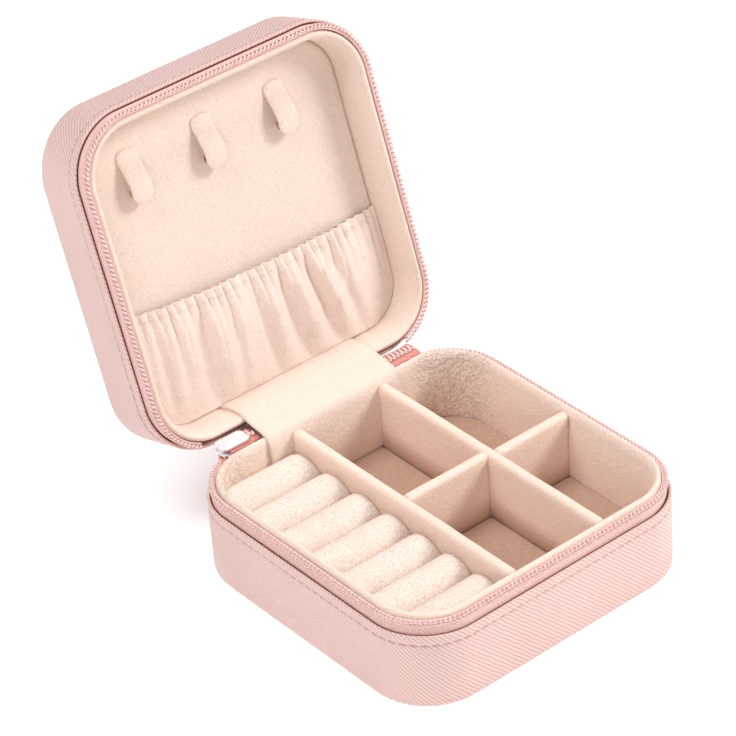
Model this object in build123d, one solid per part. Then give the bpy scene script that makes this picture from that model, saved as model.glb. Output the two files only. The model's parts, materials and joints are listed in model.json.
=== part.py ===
"""Small square travel jewelry case with a zip-round lid, standing open. Millimetres, +Z up.

The origin is the centre of the underside. +Y points to the hinge, -Y to the front, +X to the right.
Everything on the lid is drawn shut, over the base, and then swung open about the hinge line.
"""
from build123d import *
import os

# the case, shut
WIDTH = 100.0
DEPTH = 100.0
SHUT_HEIGHT = 50.0
CORNER_RADIUS = 18.8
BASE_EDGE = 23.2       # top of the base's side leather
LID_EDGE = 32.4        # lower edge of the lid's side leather

# layers of the side walls, as distances in from the outer face
LEATHER = 0.9
BOARD_INSIDE = 2.0
TAPE_OUTSIDE = 2.1
TAPE_INSIDE = 2.6
LINING_OUTSIDE = 3.0
LINING_INSIDE = 5.8
BOARD_SETBACK = 1.2    # the boards stop short of the leather's folded edge
LIP_ROUNDING = 1.3

# floor of the base, and top of the lid, from the outside in
BOTTOM_LEATHER = 1.0
BOTTOM_BOARD = 2.0
FLOOR_FOAM = 3.0
FLOOR_LINING = 1.0
LID_PANEL = 40.0       # face of the velvet panel inside the lid
PANEL_LINING = 1.0
PANEL_BOARD = 1.6
LID_FOAM = 4.0
TOP_BOARD = 1.6
EDGE_ROUNDING = 0.8

# linings meet when the lid is shut
BASE_LIP = 28.4
LID_LIP = 28.8

# zipper
COIL_OUTSIDE = 0.9
COIL_WIDTH = 2.3
COIL_GAP = 0.4
TAPE_SETBACK = 1.5     # the tape's edge lies this far behind the coil's teeth
TAPE_DEPTH = 9.0       # tape hidden behind the leather
LID_TAPE_DEPTH = 7.5
COIL_SEAM = 27.9

# hinge
OPEN_ANGLE = 107.6
HINGE_Y = 51.0
HINGE_Z = 26.0
HINGE_LEFT = -22.5
HINGE_RIGHT = 24.5
HINGE_CLOTH = 0.6
HINGE_LEATHER = 0.8
HINGE_OVERLAP = 7.0    # leather glued to each half
HINGE_BEND = 1.6       # the leather bends this far past each half's edge
LINER_REACH = 0.4      # the velvet passes this far over each lip
LINER_LIFT = 0.1
LINER_PANEL_GAP = 0.3

ROUNDING_SHARE = 0.45   # of the width, for ends and tops that are nearly round

# inside the base
FLOOR = BOTTOM_LEATHER + BOTTOM_BOARD + FLOOR_FOAM + FLOOR_LINING
DIVIDER_TOP = 27.6
DIVIDER_THICKNESS = 3.6
DIVIDER_GAP = 0.1
RING_DIVIDER_X = -13.0
MIDDLE_DIVIDER_X = 18.0
LEFT_CROSS_Y = -0.8
RIGHT_CROSS_Y = -2.2
ROLL_COUNT = 7
ROLL_TOP = 24.2
ROLL_BOTTOM = 13.0
ROLL_SAG = 5.2
ROLL_TAPER = 1.4       # the rearmost roll is this much wider than the front one
ROLL_GAP = 0.06

# necklace straps and their snaps
STRAP_CENTRES = (-28.3, -2.9, 22.6)
STRAP_WIDTH = 7.0
STRAP_THICKNESS = 1.0
STRAP_ROOT_Y = -36.0
STRAP_END_Y = -20.5
STRAP_LIFT = 2.9
STRAP_RISE = 9.0       # the strap leaves the panel gradually over this length
STRAP_SEAM = 0.1       # between the strap's sewn end and the panel
STRAP_TOE = 0.5        # slope of the sewn end
STRAP_SEWN = 2.0       # length that lies on the panel
SNAP_RADIUS = 2.1
SNAP_Y = -23.4
SNAP_CLEARANCE = 0.1

# gathered pocket
POCKET_MOUTH_Y = 9.0
POCKET_DEPTH = 6.4
POCKET_CLOTH = 0.8
POCKET_SIDE_GAP = 0.3
POCKET_SLOPE = 6.0     # the pocket slopes down to its seam over this length
POCKET_SLOPE_DROP = 3.2
ELASTIC_BELOW_MOUTH = 1.0
ELASTIC_WIDTH = 4.0
ELASTIC_THICKNESS = 0.4

# zipper slider, parked at the left end of the hinge
FOLD_LEFT = -37.5
FOLD_RIGHT = 36.0
FOLD_Y = 51.15         # centre of the folded chain with the lid open
FOLD_Z = 27.7
FOLD_HALF_WIDTH = 2.5
FOLD_HALF_THICKNESS = 0.6
FOLD_GAP = 0.2         # between the folded chain and the hinge cloth
FOLD_END_GAP = 0.3     # and between it and the coils
SLIDER_X = -30.1
SLIDER_LENGTH = 9.4
SLIDER_HALF_WIDTH = 2.6
SLIDER_CHANNEL = 0.7   # from the chain's middle to each plate
SLIDER_PLATE = 0.5
SLIDER_ROUNDING = 1.4
NOSE_LENGTH = 1.0
NOSE_HALF_WIDTH = 0.9
NOSE_SETBACK = 0.4
BRIDGE_LENGTH = 3.6
BRIDGE_HEIGHT = 1.7
BRIDGE_WIRE = 0.8
BRIDGE_HALF_WIDTH = 0.45
PULL_PIN = 0.5         # the pull's crosswise pin, inside the bridge
PULL_WIDTH = 3.6
PULL_LENGTH = 15.0
PULL_THICKNESS = 0.9
PULL_EYE = 2.6         # from the pin's middle to the end of the eye
PULL_SIDE_GAP = 0.3
PULL_Y = 52.5          # the pull hangs clear behind the base

CUT_PAST = 1.0         # a cut runs past the solid by this much

HINGE_LINE = Axis((0, HINGE_Y, HINGE_Z), (1, 0, 0))
parts = {}


def slab(inset, low, high):
    """A plate with the case's outline, drawn in by inset, from height low to high."""
    outline = RectangleRounded(WIDTH - 2 * inset, DEPTH - 2 * inset, CORNER_RADIUS - inset)
    return Pos(0, 0, low) * extrude(outline, high - low)


def ring(outside, inside, low, high):
    """A wall that follows the case's outline between two insets."""
    return slab(outside, low, high) - slab(inside, low - CUT_PAST, high + CUT_PAST)


def block(low, high):
    """A box from its lowest corner to its highest."""
    size = [b - a for a, b in zip(low, high)]
    return Pos(*low) * Box(*size, align=(Align.MIN, Align.MIN, Align.MIN))


def rod(radius, low, high, x, y):
    """An upright cylinder."""
    return Pos(x, y, low) * Cylinder(radius, high - low, align=(Align.CENTER, Align.CENTER, Align.MIN))


def prism(points, left, right):
    """A (y, z) outline stretched along X."""
    outline = make_face(Polyline(*[(0, y, z) for y, z in points], close=True))
    return Pos(left, 0, 0) * extrude(outline, right - left, dir=(1, 0, 0))


def opened(shape):
    """Swing a lid piece from shut to standing open."""
    return shape.rotate(HINGE_LINE, -OPEN_ANGLE)


def opened_point(y, z):
    """Where a point of the shut lid goes, in the YZ plane."""
    moved = Vector(0, y - HINGE_Y, z - HINGE_Z).rotate(Axis.X, -OPEN_ANGLE)
    return (HINGE_Y + moved.Y, HINGE_Z + moved.Z)


def round_lip(wall, highest):
    """Round the two free edges of a wall's lip."""
    edges = wall.edges().group_by(Axis.Z)[-1 if highest else 0]
    return fillet(edges, LIP_ROUNDING)


def zip_run(shape):
    """Cut a ring where the folded chain ends and the cloth hinge take its place, at the back."""
    return shape - block((FOLD_LEFT, 0, 0), (FOLD_RIGHT, DEPTH, SHUT_HEIGHT))


def outer_shells():
    """Leather and stiff boards of both halves."""
    parts["base_bottom_leather"] = fillet(
        slab(0, 0, BOTTOM_LEATHER).edges().group_by(Axis.Z)[0], EDGE_ROUNDING)
    parts["base_side_leather"] = ring(0, LEATHER, BOTTOM_LEATHER, BASE_EDGE)
    parts["base_bottom_board"] = slab(LEATHER, BOTTOM_LEATHER, BOTTOM_LEATHER + BOTTOM_BOARD)
    parts["base_wall_board"] = ring(
        LEATHER, BOARD_INSIDE, BOTTOM_LEATHER + BOTTOM_BOARD, BASE_EDGE - BOARD_SETBACK)
    parts["base_floor_foam"] = slab(
        TAPE_INSIDE, BOTTOM_LEATHER + BOTTOM_BOARD, FLOOR - FLOOR_LINING)

    side_top = SHUT_HEIGHT - BOTTOM_LEATHER
    board_top = side_top - TOP_BOARD
    parts["lid_top_leather"] = opened(fillet(
        slab(0, side_top, SHUT_HEIGHT).edges().group_by(Axis.Z)[-1], EDGE_ROUNDING))
    parts["lid_side_leather"] = opened(ring(0, LEATHER, LID_EDGE, side_top))
    parts["lid_top_board"] = opened(slab(LEATHER, board_top, side_top))
    parts["lid_wall_board"] = opened(ring(LEATHER, BOARD_INSIDE, LID_EDGE + BOARD_SETBACK, board_top))
    foam_low = LID_PANEL + PANEL_LINING + PANEL_BOARD
    parts["lid_foam_pad"] = opened(slab(TAPE_INSIDE, foam_low, foam_low + LID_FOAM))
    parts["lid_panel_board"] = opened(slab(TAPE_INSIDE, LID_PANEL + PANEL_LINING, foam_low))


def linings():
    """Velvet walls with rounded lips, the base's floor and the lid's panel."""
    base_wall = ring(LINING_OUTSIDE, LINING_INSIDE, FLOOR - FLOOR_LINING, BASE_LIP)
    parts["base_lining_wall"] = round_lip(base_wall, True)
    parts["base_lining_floor"] = slab(LINING_INSIDE, FLOOR - FLOOR_LINING, FLOOR)
    lid_wall = ring(LINING_OUTSIDE, LINING_INSIDE, LID_LIP, LID_PANEL + PANEL_LINING)
    parts["lid_lining_wall"] = opened(round_lip(lid_wall, False))
    parts["lid_panel"] = opened(slab(LINING_INSIDE, LID_PANEL, LID_PANEL + PANEL_LINING))


def zipper_halves():
    """Each half's woven tape and its row of coil teeth, round three sides and both back corners."""
    base_coil_top = COIL_SEAM - COIL_GAP / 2
    lid_coil_low = COIL_SEAM + COIL_GAP / 2
    base_tape = ring(TAPE_OUTSIDE, TAPE_INSIDE, BASE_EDGE - TAPE_DEPTH, base_coil_top - TAPE_SETBACK)
    lid_tape = ring(TAPE_OUTSIDE, TAPE_INSIDE, lid_coil_low + TAPE_SETBACK, LID_EDGE + LID_TAPE_DEPTH)
    parts["base_zipper_tape"] = zip_run(base_tape)
    parts["lid_zipper_tape"] = opened(zip_run(lid_tape))
    coil_inside = TAPE_OUTSIDE
    base_coil = ring(COIL_OUTSIDE, coil_inside, base_coil_top - COIL_WIDTH, base_coil_top)
    lid_coil = ring(COIL_OUTSIDE, coil_inside, lid_coil_low, lid_coil_low + COIL_WIDTH)
    parts["base_zipper_coil"] = zip_run(base_coil)
    parts["lid_zipper_coil"] = opened(zip_run(lid_coil))


def strip(path, thickness, left, right):
    """A cloth strip along a (y, z) path, thickened to its left-hand side and stretched along X."""
    points = [Vector(0, y, z) for y, z in path]
    runs = [(b - a).normalized() for a, b in zip(points, points[1:])]
    sides = [Vector(0, -run.Z, run.Y) for run in runs]
    bends = [sides[0]]
    for one, other in zip(sides, sides[1:]):
        middle = (one + other).normalized()
        bends.append(middle * (1 / middle.dot(one)))
    bends.append(sides[-1])
    parallel = [point + bend * thickness for point, bend in zip(points, bends)]
    face = make_face(Polyline(*points, *reversed(parallel), close=True))
    return Pos(left, 0, 0) * extrude(face, right - left, dir=(1, 0, 0))


def hinge():
    """Leather outside and velvet inside, both bending across the gap between the halves."""
    inside = DEPTH / 2 - LINING_INSIDE
    lip = DEPTH / 2 - LINING_OUTSIDE
    liner = [
        (inside, FLOOR + DIVIDER_GAP), (inside, BASE_LIP), (lip + LINER_REACH, BASE_LIP + LINER_LIFT),
        opened_point(lip + LINER_REACH, LID_LIP - LINER_LIFT), opened_point(inside, LID_LIP),
        opened_point(inside, LID_PANEL - LINER_PANEL_GAP)]
    parts["hinge_liner"] = strip(liner, HINGE_CLOTH, HINGE_LEFT, HINGE_RIGHT)
    back = DEPTH / 2
    leather = [
        (back, BASE_EDGE - HINGE_OVERLAP), (back, BASE_EDGE + HINGE_BEND),
        opened_point(back, LID_EDGE - HINGE_BEND), opened_point(back, LID_EDGE + HINGE_OVERLAP)]
    parts["hinge_leather"] = strip(leather[::-1], HINGE_LEATHER, HINGE_LEFT, HINGE_RIGHT)


def divider(low, high):
    """A board wrapped in velvet, with a rounded top."""
    board = block(low, high)
    return fillet(board.edges().group_by(Axis.Z)[-1].filter_by(
        Axis.X if high[0] - low[0] > high[1] - low[1] else Axis.Y), DIVIDER_THICKNESS * ROUNDING_SHARE)


def dividers():
    """Two long dividers and two short cross dividers that lift out."""
    half = DIVIDER_THICKNESS / 2
    inside = DEPTH / 2 - LINING_INSIDE
    back = inside - HINGE_CLOTH - DIVIDER_GAP
    front = -inside + DIVIDER_GAP
    for name, x in (("ring_divider", RING_DIVIDER_X), ("middle_divider", MIDDLE_DIVIDER_X)):
        parts[name] = divider((x - half, front, FLOOR), (x + half, back, DIVIDER_TOP))
    left = RING_DIVIDER_X + half + DIVIDER_GAP
    middle_left = MIDDLE_DIVIDER_X - half - DIVIDER_GAP
    middle_right = MIDDLE_DIVIDER_X + half + DIVIDER_GAP
    right = WIDTH / 2 - LINING_INSIDE - DIVIDER_GAP
    parts["left_cross_divider"] = divider(
        (left, LEFT_CROSS_Y - half, FLOOR), (middle_left, LEFT_CROSS_Y + half, DIVIDER_TOP))
    parts["right_cross_divider"] = divider(
        (middle_right, RIGHT_CROSS_Y - half, FLOOR), (right, RIGHT_CROSS_Y + half, DIVIDER_TOP))


def ring_rolls():
    """Seven velvet rolls on a foam block, the rear one widest."""
    inside = DEPTH / 2 - LINING_INSIDE - HINGE_CLOTH
    left = -WIDTH / 2 + LINING_INSIDE + DIVIDER_GAP
    right = RING_DIVIDER_X - DIVIDER_THICKNESS / 2 - DIVIDER_GAP
    room = 2 * inside
    foam = block((left, -inside, FLOOR), (right, inside, ROLL_BOTTOM))
    parts["ring_foam_block"] = foam & slab(LINING_INSIDE + DIVIDER_GAP, FLOOR, ROLL_BOTTOM)
    middle = (ROLL_COUNT - 1) / 2
    back = inside
    for number in range(ROLL_COUNT):
        width = room / ROLL_COUNT + ROLL_TAPER * (middle - number) / ROLL_COUNT
        front = back - width
        outline = Polyline(
            (0, back - ROLL_GAP, ROLL_TOP - ROLL_SAG), (0, back - ROLL_GAP, ROLL_BOTTOM),
            (0, front + ROLL_GAP, ROLL_BOTTOM), (0, front + ROLL_GAP, ROLL_TOP - ROLL_SAG))
        crown = ThreePointArc(
            (0, front + ROLL_GAP, ROLL_TOP - ROLL_SAG), (0, (front + back) / 2, ROLL_TOP),
            (0, back - ROLL_GAP, ROLL_TOP - ROLL_SAG))
        roll = extrude(make_face(outline.edges() + crown.edges()), right - left, dir=(1, 0, 0))
        room_inside = slab(LINING_INSIDE + DIVIDER_GAP, FLOOR, SHUT_HEIGHT)
        parts[f"ring_roll_{number + 1}"] = Pos(left, 0, 0) * roll & room_inside
        back = front


def straps():
    """Three necklace straps sewn to the lid's panel at one end and snapped at the other."""
    low = LID_PANEL - STRAP_LIFT - STRAP_THICKNESS
    seam = LID_PANEL - STRAP_SEAM
    under = low + STRAP_THICKNESS
    rise = STRAP_ROOT_Y + STRAP_RISE
    outline = [
        (STRAP_ROOT_Y, seam), (STRAP_ROOT_Y + STRAP_TOE, seam - STRAP_THICKNESS), (rise, low),
        (STRAP_END_Y, low), (STRAP_END_Y, under), (rise, under), (STRAP_ROOT_Y + STRAP_SEWN, seam)]
    socket_high = LID_PANEL - STRAP_LIFT / 2 - SNAP_CLEARANCE / 2
    for number, x in enumerate(STRAP_CENTRES, 1):
        strap = prism(outline, x - STRAP_WIDTH / 2, x + STRAP_WIDTH / 2)
        corners = strap.edges().filter_by(Axis.Z).group_by(Axis.Y)[-1]
        parts[f"necklace_strap_{number}"] = opened(fillet(corners, STRAP_WIDTH * ROUNDING_SHARE))
        socket = rod(SNAP_RADIUS, under, socket_high, x, SNAP_Y)
        parts[f"snap_socket_{number}"] = opened(socket)
        stud = rod(SNAP_RADIUS, socket_high + SNAP_CLEARANCE, LID_PANEL, x, SNAP_Y)
        parts[f"snap_stud_{number}"] = opened(stud)


def pocket_room(inset, mouth, bottom_y, low):
    """The pocket's outline: flat over the panel, sloping in where it is sewn down by the hinge."""
    side = [
        (mouth, LID_PANEL), (mouth, low), (bottom_y - POCKET_SLOPE, low),
        (bottom_y, low + POCKET_SLOPE_DROP), (bottom_y, LID_PANEL)]
    room = prism(side, -WIDTH / 2, WIDTH / 2)
    return room & slab(inset, low, LID_PANEL)


def pocket():
    """A gathered velvet pocket over the lower part of the lid's panel, with its elastic."""
    inset = LINING_INSIDE + POCKET_SIDE_GAP
    bottom_y = DEPTH / 2 - LINING_INSIDE - HINGE_CLOTH - POCKET_SIDE_GAP
    low = LID_PANEL - POCKET_DEPTH
    outer = pocket_room(inset, POCKET_MOUTH_Y, bottom_y, low)
    inner = pocket_room(
        inset + POCKET_CLOTH, POCKET_MOUTH_Y - CUT_PAST, bottom_y - POCKET_CLOTH, low + POCKET_CLOTH)
    parts["lid_pocket"] = opened(outer - inner)
    half = WIDTH / 2 - inset - POCKET_CLOTH
    elastic_low = low + POCKET_CLOTH
    elastic_y = POCKET_MOUTH_Y + ELASTIC_BELOW_MOUTH
    parts["pocket_elastic"] = opened(block(
        (-half, elastic_y, elastic_low),
        (half, elastic_y + ELASTIC_WIDTH, elastic_low + ELASTIC_THICKNESS)))


def folded_chain():
    """The short joined ends of the zipper, which fold across the gap beside the cloth hinge."""
    low = (FOLD_Y - FOLD_HALF_WIDTH, FOLD_Z - FOLD_HALF_THICKNESS)
    high = (FOLD_Y + FOLD_HALF_WIDTH, FOLD_Z + FOLD_HALF_THICKNESS)
    chain_left = SLIDER_X - SLIDER_LENGTH / 2 + 2 * NOSE_LENGTH
    parts["left_chain_end"] = block((chain_left, *low), (HINGE_LEFT - FOLD_GAP, *high))
    parts["right_chain_end"] = block((HINGE_RIGHT + FOLD_GAP, *low), (FOLD_RIGHT - FOLD_END_GAP, *high))


def slider():
    """Two plates over and under the chain, joined at the nose, with a bridge and a hanging pull."""
    left = SLIDER_X - SLIDER_LENGTH / 2
    right = left + SLIDER_LENGTH
    near = FOLD_Y - SLIDER_HALF_WIDTH
    far = FOLD_Y + SLIDER_HALF_WIDTH
    reach = SLIDER_CHANNEL + SLIDER_PLATE
    upper = block((left, near, FOLD_Z + SLIDER_CHANNEL), (right, far, FOLD_Z + reach))
    lower = block((left, near, FOLD_Z - reach), (right, far, FOLD_Z - SLIDER_CHANNEL))
    upper = fillet(upper.edges().filter_by(Axis.Z), SLIDER_ROUNDING)
    lower = fillet(lower.edges().filter_by(Axis.Z), SLIDER_ROUNDING)
    nose_left = left + NOSE_SETBACK
    nose = block(
        (nose_left, FOLD_Y - NOSE_HALF_WIDTH, FOLD_Z - SLIDER_CHANNEL),
        (nose_left + NOSE_LENGTH, FOLD_Y + NOSE_HALF_WIDTH, FOLD_Z + SLIDER_CHANNEL))
    under = FOLD_Z - reach
    bar_low = under - BRIDGE_HEIGHT
    bridge_left = nose_left
    bridge_right = bridge_left + BRIDGE_LENGTH
    near, far = PULL_Y - BRIDGE_HALF_WIDTH, PULL_Y + BRIDGE_HALF_WIDTH
    bar = block((bridge_left, near, bar_low), (bridge_right, far, bar_low + BRIDGE_WIRE))
    posts = [
        block((x, near, bar_low), (x + BRIDGE_WIRE, far, under))
        for x in (bridge_left, bridge_right - BRIDGE_WIRE)]
    parts["zipper_slider"] = upper + lower + nose + bar + posts[0] + posts[1]

    pin_x = (bridge_left + bridge_right) / 2
    pin_z = (under + bar_low + BRIDGE_WIRE) / 2
    parts["zipper_pull"] = pull(pin_x, pin_z)


def pull(pin_x, pin_z):
    """A flat tab hanging from a pin that lies across the inside of the bridge."""
    half = PULL_WIDTH / 2
    hole_half = BRIDGE_HALF_WIDTH + PULL_SIDE_GAP
    thick = PULL_THICKNESS / 2
    tab = block(
        (pin_x - thick, PULL_Y - half, pin_z - PULL_LENGTH), (pin_x + thick, PULL_Y + half, pin_z))
    tab = fillet(tab.edges().filter_by(Axis.X).group_by(Axis.Z)[0], PULL_WIDTH * ROUNDING_SHARE)
    eye = block(
        (pin_x - CUT_PAST, PULL_Y - hole_half, pin_z - PULL_EYE),
        (pin_x + CUT_PAST, PULL_Y + hole_half, pin_z + CUT_PAST))
    pin = block(
        (pin_x - PULL_PIN / 2, PULL_Y - half, pin_z - PULL_PIN / 2),
        (pin_x + PULL_PIN / 2, PULL_Y + half, pin_z + PULL_PIN / 2))
    return tab - eye + pin


def write_parts():
    """One STEP file for each node."""
    os.makedirs("parts", exist_ok=True)
    for name, shape in parts.items():
        export_step(shape, f"parts/{name}.step")
        print(name, round(shape.volume, 1))


outer_shells()
linings()
zipper_halves()
hinge()
dividers()
ring_rolls()
straps()
pocket()
folded_chain()
slider()
write_parts()
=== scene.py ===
"""Looks of the travel jewelry box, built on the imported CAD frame.

Sizes in this script are millimetres in the CAD frame (+Z up, +Y to the hinge) until a mesh is made.
Lid pieces are drawn shut, over the base, and then swung open about the CAD's hinge joint.
UV maps are in millimetres too, so that grain, weave and stitches keep their real size.
"""
import bpy
import bmesh
import functools
import json
import math
import random
from mathutils import Matrix, Vector, noise


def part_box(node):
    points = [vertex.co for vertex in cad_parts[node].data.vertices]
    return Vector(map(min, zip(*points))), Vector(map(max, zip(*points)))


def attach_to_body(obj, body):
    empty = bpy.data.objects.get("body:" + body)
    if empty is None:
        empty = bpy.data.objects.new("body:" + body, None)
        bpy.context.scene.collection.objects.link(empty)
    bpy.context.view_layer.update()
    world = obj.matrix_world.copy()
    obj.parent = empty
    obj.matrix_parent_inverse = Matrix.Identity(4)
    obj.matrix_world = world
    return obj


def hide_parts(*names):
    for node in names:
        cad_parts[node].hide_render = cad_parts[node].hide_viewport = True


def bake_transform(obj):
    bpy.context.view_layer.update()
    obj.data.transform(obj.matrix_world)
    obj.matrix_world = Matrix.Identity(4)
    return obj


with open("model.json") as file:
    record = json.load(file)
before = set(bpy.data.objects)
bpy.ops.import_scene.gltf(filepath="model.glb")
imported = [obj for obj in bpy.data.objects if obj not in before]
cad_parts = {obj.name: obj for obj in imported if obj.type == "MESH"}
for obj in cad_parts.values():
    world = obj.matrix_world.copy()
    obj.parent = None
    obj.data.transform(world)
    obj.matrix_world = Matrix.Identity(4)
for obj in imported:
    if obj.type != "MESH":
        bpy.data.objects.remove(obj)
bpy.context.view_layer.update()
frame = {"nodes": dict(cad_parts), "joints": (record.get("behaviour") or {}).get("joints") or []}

MM = 0.001

# camera, aimed at a point over the base's back half
AIM = (-5.9, 19.1, 56.8)
AZIMUTH = -37.67
ELEVATION = 34.55
ROLL = -4.28
DISTANCE = 922.9
LENS = 168.9

# outline of the case
CORNER_RADIUS = 18.8
RING_STEP = 1.2         # distance between the cross-sections of a ring or strip
ZIP_LEFT = -37.5        # where the coils leave the case for the slider
ZIP_RIGHT = 36.0

# velvet pads
PAD_GAP = 0.03          # left between a pad and its neighbours
PAD_RINGS = (0.15, 0.3, 0.45, 0.6, 0.72, 0.82, 0.9, 0.95, 0.98)
PAD_EDGE = ((1.35, 0.06), (1.0, 0.35), (1.0, 0.9))      # (share of the inset, drop)
PAD_CORNER = 0.8        # at a divider
PAD_CORNER_STEPS = 12

# the cloth of a divider is pushed this far into its neighbours
DIVIDER_REACH = 0.6
DIVIDER_SUNK = 0.3
DIVIDER_END = 0.5       # length of its slightly thinner ends

# ring rolls
ROLL_STEPS = 46
ROLL_SIDES = 28
ROLL_END = 3.4          # length of the rounded right end
ROLL_CREASE = 17.6      # height at which two rolls touch

# sewing
STITCH_BELOW_EDGE = 3.1
STITCH_PITCH = 3.0
STITCH_LENGTH = 2.3
STITCH_THICKNESS = 0.24
GROOVE_REACH = 0.8      # the groove of the stitches, above and below them
GROOVE_DEPTH = 0.22

# zipper
TOOTH_PITCH = 1.4
COIL_HALF_DEPTH = 0.6
WIRE_RADIUS = 0.26
WIRE_SIDES = 6
THREAD_SIDES = 5
TURN_POINTS = 10
ROW_HEIGHT = 0.42       # rows of sewing, from the coil's middle
ROW_THICKNESS = 0.22
ROW_WAVE = 0.05
TAPE_BEND = 0.3         # how softly the tape bends

# the zipper's folded ends
FOLDED_TAPE_REACH = 0.6  # the tape is this much wider than the CAD block, at each edge
FOLDED_TAPE_THICKNESS = 0.4
FOLDED_STEPS = 24
LOCKED_REACH = 1.45     # half the width of the two locked rows of teeth
LOCKED_LIFT = 0.22
METAL_EDGE = 0.14       # rounding of the slider's and pull's edges

# hinge strips
LINER_THICKNESS = 0.6
HINGE_LEATHER_THICKNESS = 0.8
BEND_START = 1.6        # the hinge leather leaves the shells this far from their edges

# straps and snaps
STRAP_HALF_THICKNESS = 0.65
STRAP_ABOVE_PANEL = 0.35
STRAP_SIDES = 20
SNAP_SIDES = 28

# gathered pocket
PLEAT_PITCH = 3.1
PLEAT_DEPTH = 3.0
PLEAT_FADE = 8.5        # distance below the mouth over which the pleats die away to a third
THREAD_BELOW_MOUTH = 2.2
POCKET_THREADS = 52
POCKET_THREAD_RADIUS = 0.13
POCKET_THICKNESS = 0.5
POCKET_TALL = 36.0
POCKET_COLUMNS = 300
POCKET_ROWS = 64
BAND_COLUMNS = 160
BAND_ROWS = 8

# studio
WHITE_LIGHT = (1.0, 0.995, 0.99)
LAMP_TARGET = (0, 0.02, 0.05)       # in metres, like the lamps' places


# ---- the CAD frame, in millimetres

def joint(name):
    """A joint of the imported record."""
    return next(j for j in frame["joints"] if j["name"] == name)


HINGE = Vector(joint("lid_hinge")["pos_m"]) / MM
OPEN_ANGLE = -math.radians(joint("lid_hinge")["range_deg"][0])
OPENED = (
    Matrix.Translation(HINGE)
    @ Matrix.Rotation(-OPEN_ANGLE, 4, "X")
    @ Matrix.Translation(-HINGE))
SHUT = OPENED.inverted()


def cad(name):
    """Lowest and highest corner of a CAD node."""
    low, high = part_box(name)
    return low / MM, high / MM


@functools.lru_cache(maxsize=None)
def cad_shut(name):
    """Lowest and highest corner of a lid's CAD node with the lid shut."""
    points = [SHUT @ (v.co / MM) for v in frame["nodes"][name].data.vertices]
    low = Vector(min(p[axis] for p in points) for axis in range(3))
    high = Vector(max(p[axis] for p in points) for axis in range(3))
    return low, high


HALF = cad("base_side_leather")[1].x
BASE_EDGE = cad("base_side_leather")[1].z
BASE_LIP = cad("base_lining_wall")[1].z
FLOOR = cad("base_lining_floor")[1].z
LINING_OUTSIDE = HALF - cad("base_lining_wall")[1].x
LINING_INSIDE = HALF - cad("base_lining_floor")[1].x
TAPE_INSET = HALF - cad("base_zipper_tape")[1].x
COIL_INSET = HALF - cad("base_zipper_coil")[1].x
BASE_COIL_LOW = cad("base_zipper_coil")[0].z
BASE_COIL_HIGH = cad("base_zipper_coil")[1].z
LID_EDGE = cad_shut("lid_side_leather")[0].z
LID_TOP = cad_shut("lid_top_leather")[1].z
LID_LIP = cad_shut("lid_lining_wall")[0].z
LID_PANEL = cad_shut("lid_panel")[0].z
LID_COIL_LOW = cad_shut("lid_zipper_coil")[0].z
LID_COIL_HIGH = cad_shut("lid_zipper_coil")[1].z
STRAIGHT = 2 * (HALF - CORNER_RADIUS)
ARC = math.pi / 2 * CORNER_RADIUS
PERIMETER = 4 * (STRAIGHT + ARC)


# ---- mesh helpers

def rim(distance):
    """A point of the outer edge and its outward normal, at a distance anticlockwise from mid-back."""
    side, along = divmod((distance + STRAIGHT / 2) % PERIMETER, STRAIGHT + ARC)
    if along <= STRAIGHT:
        normal = Vector((0, 1))
        point = Vector((STRAIGHT / 2 - along, HALF))
    else:
        angle = (along - STRAIGHT) / CORNER_RADIUS
        normal = Vector((-math.sin(angle), math.cos(angle)))
        point = Vector((-STRAIGHT / 2, STRAIGHT / 2)) + normal * CORNER_RADIUS
    turn = Matrix.Rotation(side * math.pi / 2, 2)
    return turn @ point, turn @ normal


def rim_point(distance, inset, z):
    """A point at an inset from the outer edge, at height z."""
    point, normal = rim(distance)
    return Vector((*(point - normal * inset), z))


def rim_reaches(x, inset):
    """How far round the back corner runs until it reaches x, from mid-back."""
    return STRAIGHT / 2 + CORNER_RADIUS * math.asin((x - STRAIGHT / 2) / (CORNER_RADIUS - inset))


def inner_half_width(y, inset):
    """Half the width inside an inset outline, at y."""
    radius = CORNER_RADIUS - inset
    past = min(max(0.0, abs(y) - STRAIGHT / 2), radius)
    return STRAIGHT / 2 + math.sqrt(radius * radius - past * past)


def wobble(a, b, size, seed=0):
    """Smooth noise from about -1 to 1 that changes over a distance of about size."""
    return noise.noise(Vector((a / size, b / size, 7.3 * seed + 0.5)))


def smooth_profile(corners, steps=5):
    """A profile of (inset, z, rounding) corners, each cut back by its rounding and curved."""
    points = []
    count = len(corners)
    for i, (inset, z, rounding) in enumerate(corners):
        here = Vector((inset, z))
        if rounding == 0:
            points.append(here)
            continue
        before = Vector(corners[i - 1][:2])
        after = Vector(corners[(i + 1) % count][:2])
        start = here + (before - here).normalized() * min(rounding, (before - here).length * 0.49)
        end = here + (after - here).normalized() * min(rounding, (after - here).length * 0.49)
        for step in range(steps + 1):
            t = step / steps
            points.append(start.lerp(here, t).lerp(here.lerp(end, t), t))
    return points


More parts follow.
